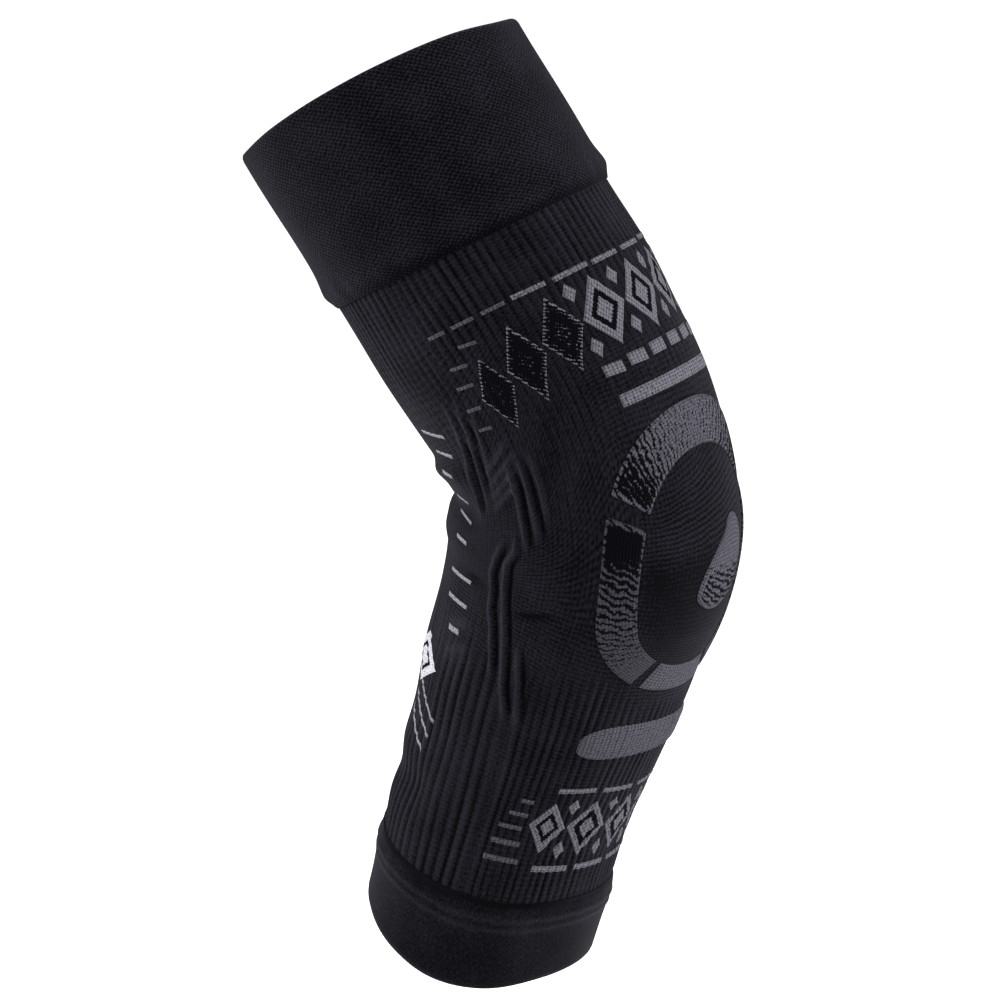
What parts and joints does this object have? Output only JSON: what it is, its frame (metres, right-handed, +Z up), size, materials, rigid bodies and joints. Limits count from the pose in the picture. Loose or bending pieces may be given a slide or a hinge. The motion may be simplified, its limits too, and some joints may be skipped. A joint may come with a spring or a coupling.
{
  "type": "arm compression sleeve",
  "caption": "Knitted elbow sleeve in the shape it takes on a bent arm: a ribbed tube open at both ends, with a folded welt cuff at each end and raised knit pads around the point of the elbow.",
  "frame": {"origin": "Centre of the elbow, where the axes of the upper arm and of the forearm cross.", "axes": "+Z is up, with the upper end on top. +X points out of the point of the elbow. Y runs across the arm. The arm bends in the plane Y = 0, and the pads and the rims sit turned from it a little towards -Y."},
  "size_m": [0.1598, 0.0946, 0.2999],
  "materials": {
    "black_rib_knit": "matte rib knit of elastic yarn",
    "black_welt_knit": "matte fine welt knit, two layers",
    "grey_pad_knit": "soft grey and black terry knit"
  },
  "bodies": {
    "root": {"upper_cuff": "black_welt_knit", "sleeve_upper_arm": "black_rib_knit", "sleeve_elbow": "black_rib_knit", "sleeve_forearm": "black_rib_knit", "lower_cuff": "black_welt_knit", "elbow_ring_upper": "grey_pad_knit", "elbow_ring_left": "grey_pad_knit", "elbow_ring_right": "grey_pad_knit", "elbow_ring_lower": "grey_pad_knit", "elbow_pad": "grey_pad_knit", "forearm_bar": "grey_pad_knit"}
  },
  "joints": []
}
